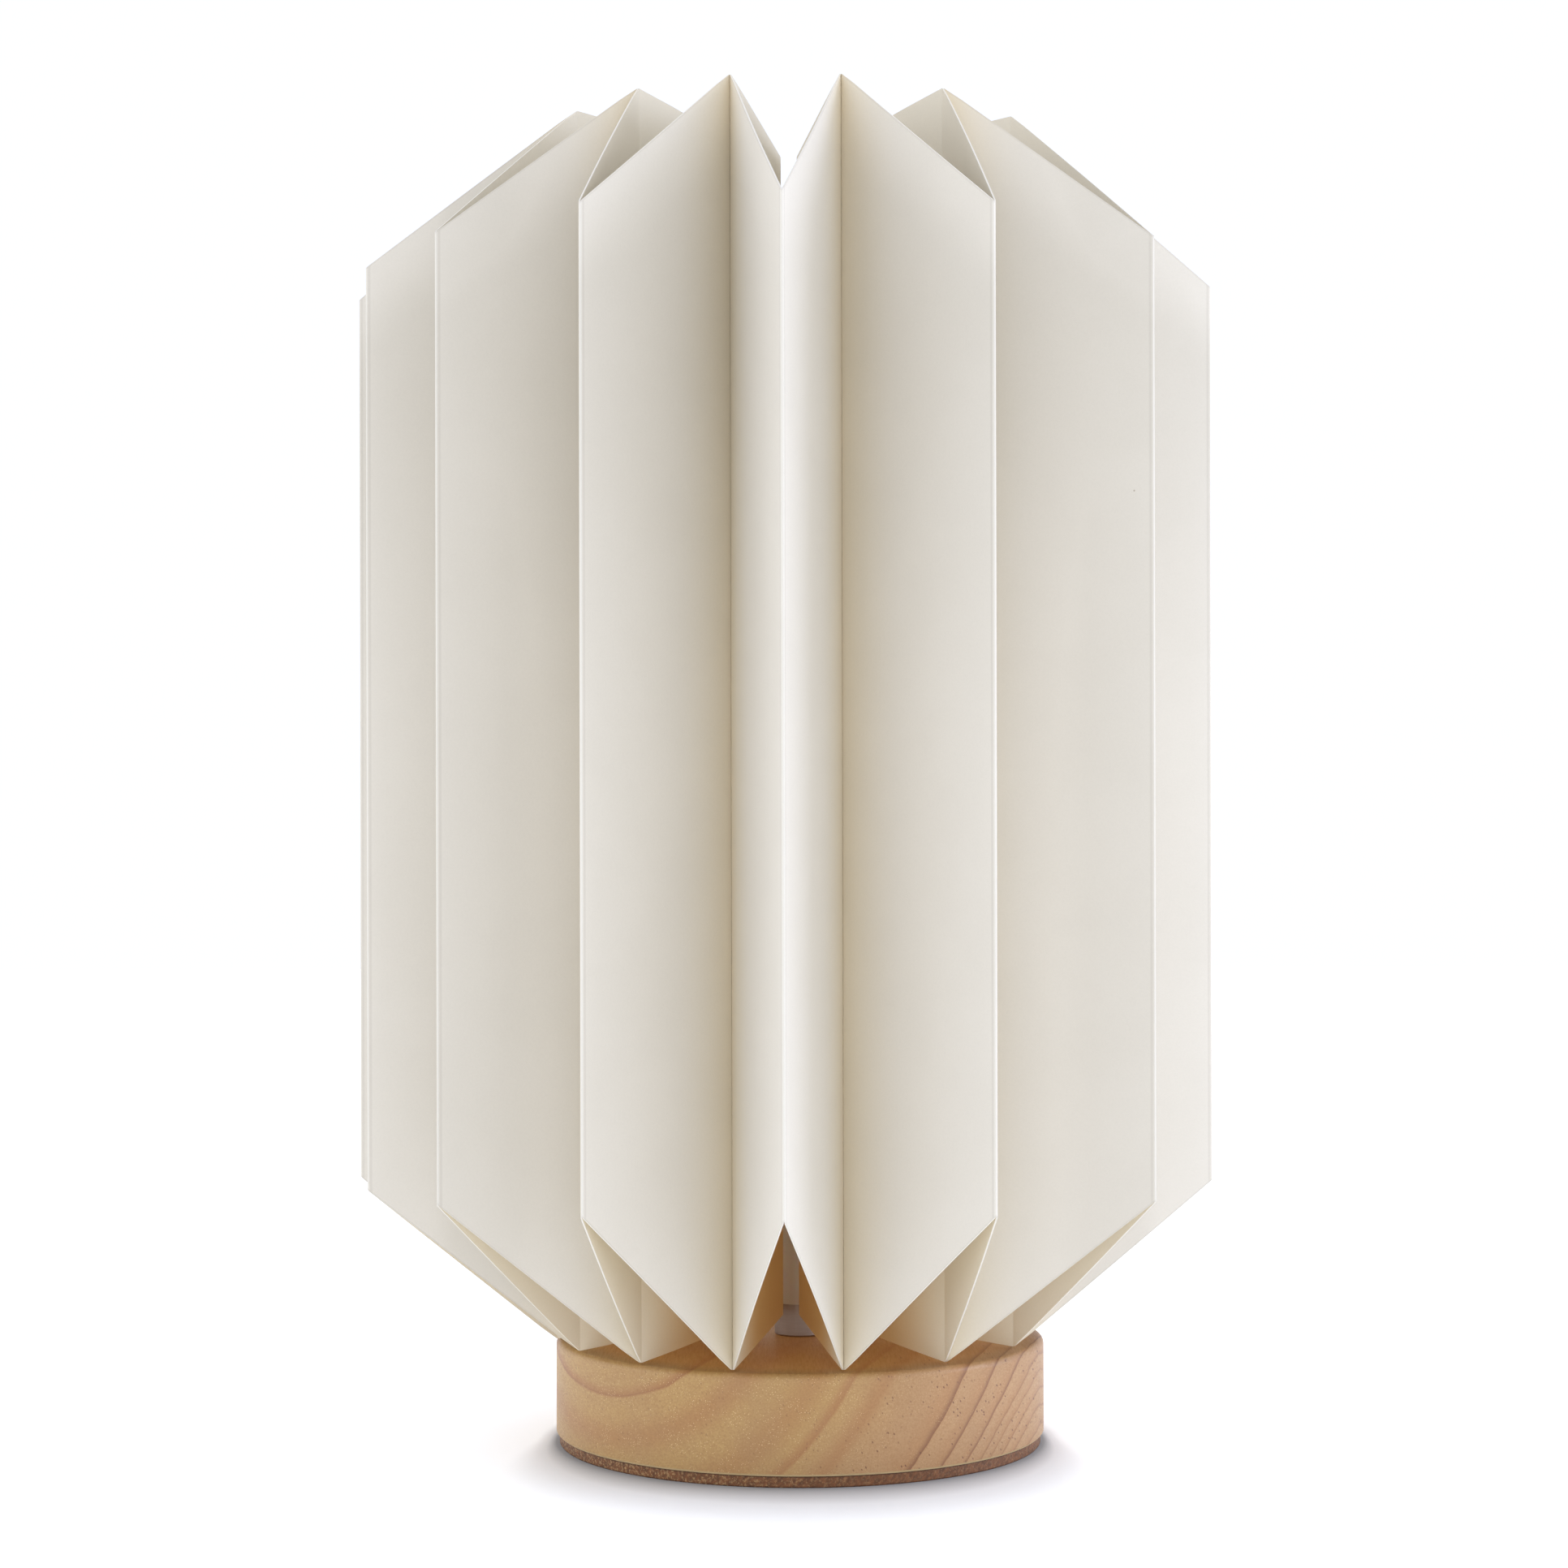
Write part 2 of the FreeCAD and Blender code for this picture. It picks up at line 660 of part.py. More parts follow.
def main():
    """Builds every piece and writes one file per node."""
    pieces = {
        "wood_base": wood_base(),
        "base_plate": base_plate(),
        "plate_screws": plate_screws(),
        "cable_grommet": cable_grommet(),
        "mounting_stud": mounting_stud(),
        "stud_washer": stud_washer(),
        "stud_nut": stud_nut(),
        "column_foot": column_foot(),
        "light_bar": light_bar(),
        "led_strip": led_strip(),
        "led_chips": led_chips(),
        "diffuser_tube": diffuser_tube(),
        "tube_cap": tube_cap(),
        "driver_board": driver_board(),
        "board_spacers": board_spacers(),
        "board_screws": board_screws(),
        "output_terminal": output_terminal(),
        "input_terminal": input_terminal(),
        "inductor": inductor(),
        "capacitor": capacitor(),
        "driver_chip": driver_chip(),
        "lead_red": lead(1),
        "lead_black": lead(-1),
    }
    pieces.update(leaves())
    os.makedirs("parts", exist_ok=True)
    for node, shape in pieces.items():
        shape.exportStep("parts/%s.step" % node)
        print(node, shape.ShapeType, len(shape.Solids), round(shape.Volume, 1), shape.isValid())


main()
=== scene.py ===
"""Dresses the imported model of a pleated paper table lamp: folded paper, turned wood, light column.

Metres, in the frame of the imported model: the origin is the centre of the base's underside, +Z is up
and the front is -Y. Lengths multiplied by MM are in millimetres, and so are the finishes' lengths.
"""
import math

import bmesh
import bpy
from bpy.props import FloatProperty, FloatVectorProperty, PointerProperty
from bpy.types import Operator, Panel, PropertyGroup
from mathutils import Matrix, Vector, noise


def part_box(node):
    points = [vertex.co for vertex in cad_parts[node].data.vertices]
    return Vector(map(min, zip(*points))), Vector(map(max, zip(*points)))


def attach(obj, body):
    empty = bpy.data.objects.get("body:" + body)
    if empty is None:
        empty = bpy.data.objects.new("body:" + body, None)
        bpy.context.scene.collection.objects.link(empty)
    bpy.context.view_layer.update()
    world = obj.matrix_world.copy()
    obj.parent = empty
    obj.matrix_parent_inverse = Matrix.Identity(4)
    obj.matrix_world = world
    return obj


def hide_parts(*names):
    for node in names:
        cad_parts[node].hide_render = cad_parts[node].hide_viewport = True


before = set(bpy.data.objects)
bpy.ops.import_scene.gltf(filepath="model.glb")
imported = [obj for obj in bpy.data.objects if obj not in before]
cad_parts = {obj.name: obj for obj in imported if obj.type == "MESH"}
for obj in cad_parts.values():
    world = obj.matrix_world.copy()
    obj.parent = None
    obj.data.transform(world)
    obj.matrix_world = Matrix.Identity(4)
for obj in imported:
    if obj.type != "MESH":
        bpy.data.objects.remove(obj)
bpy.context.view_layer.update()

bl_info = {
    "name": "Pleated Paper Lamp",
    "version": (1, 0, 0),
    "blender": (4, 5, 0),
    "location": "3D View > Sidebar > Paper Lamp",
    "description": "Finishes a pleated paper table lamp round its packed model",
    "category": "Object",
}

MM = 0.001

# The shade. A fin is the two glued flaps between neighbouring leaves: the angles of those that show
# are measured from the front, positive to the right
FRONT_FIN_ANGLES = (-97.0, -79.5, -60.0, -37.0, -13.5, 11.5, 37.5, 65.5, 97.0)
LEAF_COUNT = 14
CREASE_RADIUS = 58.2 * MM
PANEL_WIDTH = 49.4 * MM
FIN_INNER_RADIUS = 10.5 * MM
FIN_EDGE_DROP = 5.8 * MM
LEAF_HEIGHT = 293.6 * MM
FOLD_HEIGHT = 215.3 * MM
TIP_ROUND = 1.2 * MM
TIP_REACH = 1.6 * TIP_ROUND
TIP_DEPTH = 0.22 * TIP_ROUND
SHADE_OFFSET_X = -2.0 * MM
BASE_RADIUS = 60 * MM

# The sheet's mesh: columns on each stretch of half a leaf, and rows up its height
FOLD_COLUMNS = 4
PANEL_COLUMNS = 12
CREASE_COLUMNS = 6
FLAP_COLUMNS = 4
SHEET_ROWS = 28
SHARP_ANGLE = math.radians(40)
MERGE_DISTANCE = 1e-6

# The panels' unevenness: waves across a panel, length of a wave up the sheet, step between leaves
RIPPLE_WAVES = 1.3
RIPPLE_LENGTH = 0.09
RIPPLE_STEP = 7.3

# Zones of the finishes, in millimetres from where each starts to where it is full
GROOVE_REACH = 20  # on both sides of a crease, how far the painted groove shade reaches
INWARD_ZONE = (-4, 26)  # past the crease, towards the flap's end
LOW_ZONE = (60, 230)  # up the leaf, over which the light from below fades
TOP_SHADE_HEIGHT = (130, 250)  # up the leaf, for the painted shade below the top edge
TOP_SHADE_DEPTH = (2, 22)  # in from the cut edge, for the painted shade below the top edge
MIDDLE_ZONE = (7, 15)  # sideways from the middle, where the painted shade below the top edge is weak
FLANK_SHADE_START = (56, 67)  # sideways from the middle, for the painted shade on the flanks
FLANK_SHADE_END = (80, 87)
ROSY_ZONE = (66, 88)  # away from the pith
WOOD_FOOT_HIGHLIGHT = (3.05, 3.3)  # height of the wood's lower rim, where a highlight is painted
WOOD_TOP = (25, 25.6)  # height of the wood's top
LIT_REACH = (50, 58)  # from the axis, over which the light on the wood's top fades
BOARD_SIDES = (-25, 20)  # sideways, from flecks painted as glints on the left to streaks on the right
BOARD_RIM_SHADOW = (2.25, 2.6)  # height of the dark line at the board's top, a painted shadow under the wood
FLOOR_SHADOW_REACH = 17  # in front of the base, how far the painted shadow reaches
FLOOR_LIGHT = (10, 52)  # in front of the base
FLOOR_SIDE = 0.1  # share of these two at the sides and behind

# Colours that are multiplied into the paper's own: painted shade, cloudiness, fibres and darker lines
# by the folds and cut edges
PAINTED_SHADE_TINT = (0.86, 0.855, 0.84)
CLOUD_TINT = (0.972, 0.97, 0.965)
FIBRE_TINT = (0.96, 0.96, 0.955)
# darker lines: painted shade beside the folds, and a thin line just in from the cut edges
DARK_LINE_TINT = (0.9, 0.895, 0.89)
BLACK = (0, 0, 0)
WHITE = (1, 1, 1)

# Rings of the wood, in millimetres from the pith: where a ring ends, how long it darkens before
# that and fades after it, and its strength
WOOD_RINGS = (
    (40.6, 2.8, 0.6, 0.95),
    (50, 5.5, 5.5, 0.6),
    (63.5, 6, 6, 0.5),
    (71.2, 3, 0.8, 0.88),
    (77.9, 4, 2.5, 0.85),
    (92.4, 6, 0.3, 1),
    (97.6, 3.6, 0.3, 1),
    (101.4, 2.6, 0.3, 1),
    (103.9, 1.8, 0.3, 0.98),
    (105.6, 1.2, 0.25, 0.97),
    (107.4, 1.3, 0.25, 0.98),
    (109.3, 1.4, 0.25, 0.98),
    (111.5, 1.5, 0.25, 0.98),
)
PITH_LEAN = 0.25
RING_LINE_SHARPNESS = 22

# How far machining marks are drawn out along each axis: turned round the axis, drawn upwards
TURNED = (0.05, 0.05, 1)
DRAWN = (1, 1, 0.05)

# The stage
FLOOR_REACH = 6
LIGHT_DISTANCE = 1.9
LIGHT_HEIGHT = 0.5
LIGHT_SIZE = 1.2
LIGHT_AIM = (0, 0, 0.17)
COOL_TINT = (0.9, 1.0, 1.35)
CAMERA_PLACE = (-0.0037, -0.6635, 0.1289)
CAMERA_ROLL = 0.0021
CAMERA_SENSOR = 36
CAMERA_LENS = 61.57
CAMERA_SHIFT = 0.0844
CAMERA_RANGE = (0.05, 50)


def srgb(red, green, blue):
    """A display colour from 0 to 255 as the linear colour that shaders use."""
    linear = []
    for part in (red, green, blue):
        share = part / 255
        linear.append(share / 12.92 if share <= 0.04045 else ((share + 0.055) / 1.055) ** 2.4)
    return tuple(linear)


def colour(name, description, red, green, blue):
    """A colour setting with its default given as a display colour."""
    return FloatVectorProperty(
        name=name, description=description, subtype="COLOR", size=3, min=0, max=1,
        default=srgb(red, green, blue))


def length(name, description, millimetres):
    """A length setting with its default given in millimetres."""
    return FloatProperty(
        name=name, description=description, subtype="DISTANCE", unit="LENGTH", precision=5,
        default=millimetres * MM)


class PaperSettings(PropertyGroup):
    """Sizes and colours of the folded paper."""
    thickness: length("Thickness", "Thickness of the paper", 0.35)
    fold_bend: length("Fold Radius", "Radius of the outer folds", 0.42)
    crease_bend: length("Crease Radius", "Radius where a panel turns into its flap", 1.2)
    bow: length("Panel Bow", "How far the middle of a panel stands out", 0.25)
    ripple: length("Ripple", "Height of the slow unevenness of the sheets", 0.12)
    face: colour("Paper", "Colour of the paper's faces", 228, 222, 209)
    # Inside and Deep Inside are painted light and shade: the inner faces are the same paper, coloured
    # warmer for light bounced inside the shade and browner low on the flaps where shade falls
    inside: colour("Inside", "Colour of the panels' inner faces", 235, 227, 208)
    deep_shade: colour("Deep Inside", "Colour of the flaps' inner faces", 228, 198, 146)
    glow: colour("Glow", "Light that comes through the panels from outside", 82, 78, 66)
    deep_glow: colour("Deep Glow", "Light that reaches the flaps", 60, 46, 26)
    # Groove is painted shade: a warmer, darker tone down in the creases, where shade and bounced
    # light fall
    groove: colour("Groove", "Colour of the faces down in the grooves", 233, 222, 198)
    # Folded Edge is a painted highlight on the folds and the cut edges
    edge_highlight: colour("Folded Edge", "Colour where the paper is folded or cut", 241, 238, 228)
    speck: colour("Speck", "Colour of the rare specks in the paper", 150, 128, 100)


class WoodSettings(PropertyGroup):
    """Colours of the turned wood and the place of its pith."""
    pale: colour("Pale Wood", "Colour of the early part of each ring", 188, 151, 92)
    warm: colour("Warm Wood", "Colour of the late part of each ring", 170, 119, 70)
    rosy: colour("Rosy Wood", "Colour of the wood far from the pith", 184, 144, 98)
    line: colour("Ring Line", "Colour of the thin line that ends a ring", 120, 74, 46)
    pore: colour("Pore", "Colour of the open pores", 116, 72, 46)
    # Sparkle is painted glints, and also the painted highlight along the wood's lower rim
    glint: colour("Sparkle", "Colour of the light dots", 240, 212, 158)
    glow: colour("Glow", "Light that comes through the paper onto the wood's top", 74, 46, 22)
    pith_x: length("Pith Across", "Sideways place of the pith line", -35.7)
    pith_z: length("Pith Height", "Height of the pith line", 58.4)


class PlateSettings(PropertyGroup):
    """Colours of the board under the wood."""
    board: colour("Board", "Colour of the board", 124, 78, 42)
    # Fleck is the board's fibres, painted as glints that are strongest on the left
    fibre_glint: colour("Fleck", "Colour of the light flecks in the board", 208, 168, 112)


class ColumnSettings(PropertyGroup):
    """Colours of the light column and the parts inside it."""
    foot: colour("Foot", "Colour of the column's foot", 176, 162, 150)
    opal: colour("Diffuser", "Colour of the frosted tube", 216, 204, 186)
    cap: colour("Cap", "Colour of the cap", 232, 230, 225)


class StageSettings(PropertyGroup):
    """Floor and light."""
    floor: colour("Floor", "Colour of the floor", 248, 249, 249)
    floor_light: FloatProperty(
        name="Floor Light", description="Strength of the floor's own light", default=0.3)
    sky: FloatVectorProperty(
        name="Surround", description="Colour and strength of the even light",
        subtype="COLOR", size=3, default=(1.0, 1.035, 1.15))
    right: FloatProperty(
        name="Right Light", description="Power of the light at the right", unit="POWER", default=12)
    left: FloatProperty(
        name="Left Light", description="Power of the light at the left", unit="POWER", default=3)


# --- Shader nodes


class Value:
    """An output socket of a finish's nodes, for maths written in Python."""

    def __init__(self, finish, socket):
        self.finish = finish
        self.socket = socket

    def maths(self, operation, *values):
        inputs = dict(enumerate(values))
        return self.finish.node("ShaderNodeMath", {"operation": operation}, inputs)

    def __add__(self, other):
        return self.maths("ADD", self, other)

    def __radd__(self, other):
        return self.maths("ADD", other, self)

    def __sub__(self, other):
        return self.maths("SUBTRACT", self, other)

    def __rsub__(self, other):
        return self.maths("SUBTRACT", other, self)

    def __mul__(self, other):
        return self.maths("MULTIPLY", self, other)

    def __rmul__(self, other):
        return self.maths("MULTIPLY", other, self)

    def __truediv__(self, other):
        return self.maths("DIVIDE", self, other)

    def __pow__(self, other):
        return self.maths("POWER", self, other)

    def __abs__(self):
        return self.maths("ABSOLUTE", self)

    def fraction(self):
        return self.maths("FRACT", self)

    def larger(self, other):
        return self.maths("MAXIMUM", self, other)

    def clamped(self):
        """The value held between 0 and 1."""
        return self.finish.node("ShaderNodeClamp", {}, {0: self})

    def smooth(self, low, high):
        """0 below low, 1 above high, and a soft step between them."""
        settings = {"interpolation_type": "SMOOTHSTEP"}
        inputs = {0: self, 1: low, 2: high, 3: 0, 4: 1}
        return self.finish.node("ShaderNodeMapRange", settings, inputs)


class Finish:
    """A material and the nodes that colour it."""

    def __init__(self, name):
        self.material = bpy.data.materials.new(name + "_finish")
        self.material.use_nodes = True
        self.tree = self.material.node_tree
        self.shader = next(n for n in self.tree.nodes if n.type == "BSDF_PRINCIPLED")

    def node(self, kind, settings, inputs, output=0):
        """Any node: its settings first, then its sockets by name or place, as values or links."""
        made = self.tree.nodes.new(kind)
        for name, setting in settings.items():
            setattr(made, name, setting)
        for key, value in inputs.items():
            self.feed(made.inputs[key], value)
        return Value(self, made.outputs[output])

    def feed(self, socket, value):
        """Links a value to a socket, or writes a number or colour into it."""
        if isinstance(value, Value):
            self.tree.links.new(value.socket, socket)
        elif socket.type == "RGBA" and len(value) == 3:
            socket.default_value = (*value, 1)
        else:
            socket.default_value = value

    def surface(self, **inputs):
        """Sets the shader's sockets: Base_Color stands for Base Color."""
        for name, value in inputs.items():
            self.feed(self.shader.inputs[name.replace("_", " ")], value)
        return self.material

    def place(self, scale=(1, 1, 1), turn=(0, 0, 0)):
        """Object coordinates in millimetres, turned and then scaled."""
        where = self.node("ShaderNodeTexCoord", {}, {}, "Object")
        turned = self.node("ShaderNodeMapping", {}, {"Vector": where, "Rotation": turn})
        stretch = [1000 * part for part in scale]
        return self.node("ShaderNodeVectorMath", {"operation": "MULTIPLY"}, {0: turned, 1: stretch})

    def split(self, vector):
        """A vector's three parts."""
        made = self.node("ShaderNodeSeparateXYZ", {}, {0: vector})
        outputs = made.socket.node.outputs
        return [Value(self, outputs[axis]) for axis in "XYZ"]

    def noise(self, vector, size, detail=2.0, roughness=0.5):
        """Noise from 0 to 1 whose features are about size millimetres across."""
        inputs = {"Vector": vector, "Scale": 1 / size, "Detail": detail, "Roughness": roughness}
        return self.node("ShaderNodeTexNoise", {}, inputs, "Fac")

    def cells(self, vector, size):
        """Distance to scattered points about size millimetres apart, in cell widths."""
        inputs = {"Vector": vector, "Scale": 1 / size}
        return self.node("ShaderNodeTexVoronoi", {}, inputs, "Distance")

    def mix(self, mask, below, above, blend="MIX"):
        """The colour below where the mask is 0, and above, or their product, where it is 1."""
        settings = {"data_type": "RGBA", "blend_type": blend}
        return self.node("ShaderNodeMix", settings, {0: mask, 6: below, 7: above}, 2)

    def bump(self, height, distance, strength=1.0):
        """A normal from a height from 0 to 1 that stands for distance millimetres."""
        inputs = {"Height": height, "Distance": distance * MM, "Strength": strength}
        return self.node("ShaderNodeBump", {}, inputs)


def tuned(tint, factor):
    """A colour made lighter or darker."""
    return tuple(min(part * factor, 1) for part in tint)


def paper_finish(settings):
    """Uncoated paper with fibres, a faint cloudiness, pressed folds, cut edges and rare specks.

    Daylight through the paper is a faint glow on its inner faces low down. The folds and cut edges
    carry a painted highlight, and the folds a painted shade line beside them. Painted shade lies down
    in the grooves, below the top edges and on the flanks. The inner faces are coloured warmer for
    light bounced inside the shade, and browner where shade falls low on the flaps. A thin darker line
    runs just in from the cut edges.
    """
    finish = Finish("folded_paper")
    where = finish.place()
    sheet = finish.node("ShaderNodeUVMap", {"uv_map": "sheet"}, {})
    along, up, _ = finish.split(sheet)
    rim = finish.node("ShaderNodeAttribute", {"attribute_name": "cut_edge"}, {}, "Fac")
    inner = finish.node("ShaderNodeAttribute", {"attribute_name": "inner_face"}, {}, "Fac")
    to_edge = finish.node("ShaderNodeAttribute", {"attribute_name": "to_edge"}, {}, "Fac")
    panel = PANEL_WIDTH / MM
    # Painted shade down in the grooves: faces near a crease take the groove colour
    groove = (abs(along - panel) / GROOVE_REACH).clamped()
    deep_shade = (1 - groove) ** 1.6
    cloud = finish.noise(where, 22, 3)
    fibre = finish.noise(where, 0.5, 4, 0.65)
    tint = finish.mix(deep_shade, tuple(settings.face), tuple(settings.groove))
    # Painted light and shade on the inner faces: warmer on the panels, browner low down on the flaps
    inward = along.smooth(panel + INWARD_ZONE[0], panel + INWARD_ZONE[1])
    low_down = 1 - up.smooth(*LOW_ZONE)
    inner_light_and_shade = finish.mix(inward * low_down, tuple(settings.inside), tuple(settings.deep_shade))
    aside = abs(finish.split(where)[0])
    # Painted shade: darker below the top edges, weaker on the middle leaf, and on the flanks
    top_shade = up.smooth(*TOP_SHADE_HEIGHT) * to_edge.smooth(*TOP_SHADE_DEPTH) * (0.75 + deep_shade * 0.4)
    top_shade = top_shade * (0.15 + aside.smooth(*MIDDLE_ZONE) * 0.75)
    flank_shade = aside.smooth(*FLANK_SHADE_START) * (1 - aside.smooth(*FLANK_SHADE_END))
    tint = finish.mix(top_shade.larger(flank_shade * 0.45), tint, PAINTED_SHADE_TINT, "MULTIPLY")
    tint = finish.mix(inner, tint, inner_light_and_shade)
    tint = finish.mix(cloud.smooth(0.35, 0.65) * 0.5, tint, CLOUD_TINT, "MULTIPLY")
    tint = finish.mix(fibre.smooth(0.35, 0.7) * 0.5, tint, FIBRE_TINT, "MULTIPLY")
    # pressed is painted shade beside each fold's pressed ridge; beside_cut is a thin darker line just
    # in from the cut edges
    pressed = (1 - abs(along - 0.95).smooth(0.1, 0.45)) * (1 - inner)
    beside_cut = (1 - abs(to_edge - 0.2).smooth(0.1, 0.4)) * (1 - inner)
    lines = (pressed * 0.8 + beside_cut * 0.7).clamped()
    tint = finish.mix(lines, tint, DARK_LINE_TINT, "MULTIPLY")
    # Painted highlight: the folds' rounded edges and the cut edges take a lighter colour
    fold = (1 - along.smooth(0.2, 0.5)) * (1 - inner)
    tint = finish.mix((rim * 0.4 + fold * 0.15).clamped(), tint, tuple(settings.edge_highlight))
    speck = 1 - finish.cells(where, 30).smooth(0.004, 0.009)
    tint = finish.mix(speck * 0.6, tint, tuple(settings.speck))
    relief = fibre * 0.6 + finish.noise(where, 2.5, 3) * 0.4
    through = finish.mix(inward, tuple(settings.glow), tuple(settings.deep_glow))
    return finish.surface(
        Base_Color=tint,
        Roughness=0.78 + fibre * 0.14,
        Normal=finish.bump(relief, 0.03, 0.6),
        Specular_IOR_Level=0.25,
        Emission_Color=finish.mix(inner * low_down, BLACK, through),
        Emission_Strength=1,
    )


def wood_finish(settings):
    """Pale hardwood, thin satin coat: rings round a leaning pith line, pores, painted glints and a
    painted rim highlight.
    """
    finish = Finish("turned_wood")
    where = finish.place()
    across, along, height = finish.split(where)
    sway = finish.noise(where, 45, 2) - 0.5
    wobble = finish.noise(where, 7, 3) - 0.5
    dx = across - settings.pith_x / MM - along * PITH_LEAN
    dz = height - settings.pith_z / MM
    distance = (dx * dx + dz * dz) ** 0.5 + sway * 3 + wobble * 0.9
    late = 0
    for radius, rise, fall, strength in WOOD_RINGS:
        climb = distance.smooth(radius - rise, radius)
        late = climb * (1 - distance.smooth(radius, radius + fall)) * strength + late
    line = late ** RING_LINE_SHARPNESS
    out = distance.smooth(*ROSY_ZONE)
    patch = finish.noise(where, 14, 3)
    early = finish.mix(out, tuple(settings.pale), tuple(settings.rosy))
    tint = finish.mix(late * (1 - out * 0.45), early, tuple(settings.warm))
    tint = finish.mix(patch.smooth(0.35, 0.7) * 0.35, tint, tuned(tuple(settings.rosy), 0.84))
    tint = finish.mix(line * 0.8, tint, tuple(settings.line))
    fine = finish.noise(finish.place((1, 0.06, 1)), 0.45, 3, 0.6)
    tint = finish.mix(fine.smooth(0.3, 0.75) * 0.45, tint, tuned(tuple(settings.warm), 0.8))
    slanted = finish.place((1, 0.12, 0.6), (0, 0.5, 0))
    pore = 1 - finish.cells(slanted, 0.95).smooth(0.13, 0.24)
    open_pore = pore * finish.noise(where, 5, 2).smooth(0.4, 0.6) * (0.35 + out * 0.65)
    tint = finish.mix(open_pore * 0.85, tint, tuple(settings.pore))
    # Painted glints: light dots, more of them near the pith
    glint = 1 - finish.cells(where, 0.5).smooth(0.12, 0.26)
    glint = glint * finish.noise(where, 4, 2).smooth(0.38, 0.6) * (1 - out * 0.6)
    tint = finish.mix(glint * 0.6, tint, tuple(settings.glint))
    # Painted highlight along the wood's lower rim
    foot = 1 - height.smooth(*WOOD_FOOT_HIGHLIGHT)
    tint = finish.mix(foot * 0.85, tint, tuple(settings.glint))
    relief = 0.7 + fine * 0.2 - open_pore * 0.7
    reach = (across * across + along * along) ** 0.5
    lit = height.smooth(*WOOD_TOP) * (1 - reach.smooth(*LIT_REACH))
    return finish.surface(
        Base_Color=tint,
        Roughness=0.42 + fine * 0.18,
        Normal=finish.bump(relief, 0.05, 0.5),
        Coat_Weight=0.12,
        Coat_Roughness=0.3,
        Emission_Color=finish.mix(lit, BLACK, tuple(settings.glow)),
        Emission_Strength=1,
    )


def plate_finish(settings):
    """Brown pressed board: fibre flecks painted as glints on the left, dark slanting streaks on the
    right, a painted shadow line at its top.
    """
    finish = Finish("pressed_board")
    where = finish.place()
    across, _, height = finish.split(where)
    side = across.smooth(*BOARD_SIDES)
    # Fibre flecks painted as glints, fading from the left to the right
    fibre_glint = finish.noise(where, 0.6, 3, 0.7).smooth(0.48, 0.66)
    streak = finish.noise(finish.place((0.5, 0.5, 1), (0, 0.7, 0)), 0.7, 3)
    board = tuple(settings.board)
    tint = finish.mix(streak.smooth(0.3, 0.7), tuned(board, 0.62), tuned(board, 1.2))
    tint = finish.mix(fibre_glint * (0.6 - side * 0.45), tint, tuple(settings.fibre_glint))
    # Painted shadow: a dark line along the board's top, under the wood
    tint = finish.mix(height.smooth(*BOARD_RIM_SHADOW) * 0.85, tint, tuned(board, 0.22))
    return finish.surface(
        Base_Color=tint,
        Roughness=0.6 - fibre_glint * 0.2,
        Normal=finish.bump(streak + fibre_glint * 0.4, 0.08, 0.7),
    )


def metal_finish(name, tint, rough, brushed=(1, 1, 1)):
    """Bare metal with fine machining marks and soft smudges."""
    finish = Finish(name)
    marks = finish.noise(finish.place(brushed), 0.35, 3, 0.6)
    smudge = finish.noise(finish.place(), 7, 3)
    colour_now = finish.mix(marks.smooth(0.3, 0.7), tuned(tint, 0.9), tint)
    return finish.surface(
        Base_Color=finish.mix(smudge.smooth(0.4, 0.7) * 0.3, colour_now, tuned(tint, 0.82)),
        Roughness=rough + marks * 0.14 + smudge * 0.06,
        Metallic=1,
        Normal=finish.bump(marks, 0.012, 0.5),
    )


def plastic_finish(name, tint, rough):
    """Moulded plastic with a fine grain and slightly uneven gloss."""
    finish = Finish(name)
    where = finish.place()
    texture = finish.noise(where, 0.4, 3, 0.6)
    shade = finish.noise(where, 9, 2)
    return finish.surface(
        Base_Color=finish.mix(shade.smooth(0.3, 0.7), tuned(tint, 0.94), tuned(tint, 1.02)),
        Roughness=rough + texture * 0.1,
        Normal=finish.bump(texture, 0.015, 0.5),
    )


def opal_finish(settings):
    """Frosted opal plastic: milky, with a fine frost and a soft gloss."""
    finish = Finish("opal")
    where = finish.place()
    milk = finish.noise(where, 14, 2)
    frost = finish.noise(where, 0.3, 3, 0.6)
    tint = tuple(settings.opal)
    return finish.surface(
        Base_Color=finish.mix(milk.smooth(0.3, 0.7), tuned(tint, 0.97), tint),
        Roughness=0.42 + frost * 0.12,
        Normal=finish.bump(frost, 0.01, 0.5),
        Subsurface_Weight=0.35,
        Subsurface_Scale=0.002,
    )


def board_finish():
    """A green circuit board with tracks under its varnish."""
    finish = Finish("circuit_board")
    where = finish.place()
    across, along, _ = finish.split(where)
    track = abs((along / 2.2).fraction() - 0.5).smooth(0.28, 0.34)
    broken = finish.noise(finish.place((0.12, 1, 1)), 2.2, 0).smooth(0.5, 0.52)
    tracks = track * broken
    weave = finish.noise(where, 0.5, 2)
    tint = finish.mix(tracks, srgb(24, 84, 52), srgb(40, 118, 74))
    return finish.surface(
        Base_Color=finish.mix(weave * 0.3, tint, srgb(16, 66, 40)),
        Roughness=0.34 + weave * 0.1,
        Normal=finish.bump(tracks, 0.03, 0.8),
    )


# --- Pieces


def dress(material, *nodes):
    """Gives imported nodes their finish."""
    for name in nodes:
        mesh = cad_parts[name].data
        mesh.materials.clear()
        mesh.materials.append(material)


def fin_angles():
    """The fins' angles: listed round the front, evenly spaced over the rest of the circle."""
    first = FRONT_FIN_ANGLES[0] + 360
    last = FRONT_FIN_ANGLES[-1]
    rest = LEAF_COUNT - len(FRONT_FIN_ANGLES)
    step = (first - last) / (rest + 1)
    return [*FRONT_FIN_ANGLES, *(last + step * (place + 1) for place in range(rest))]


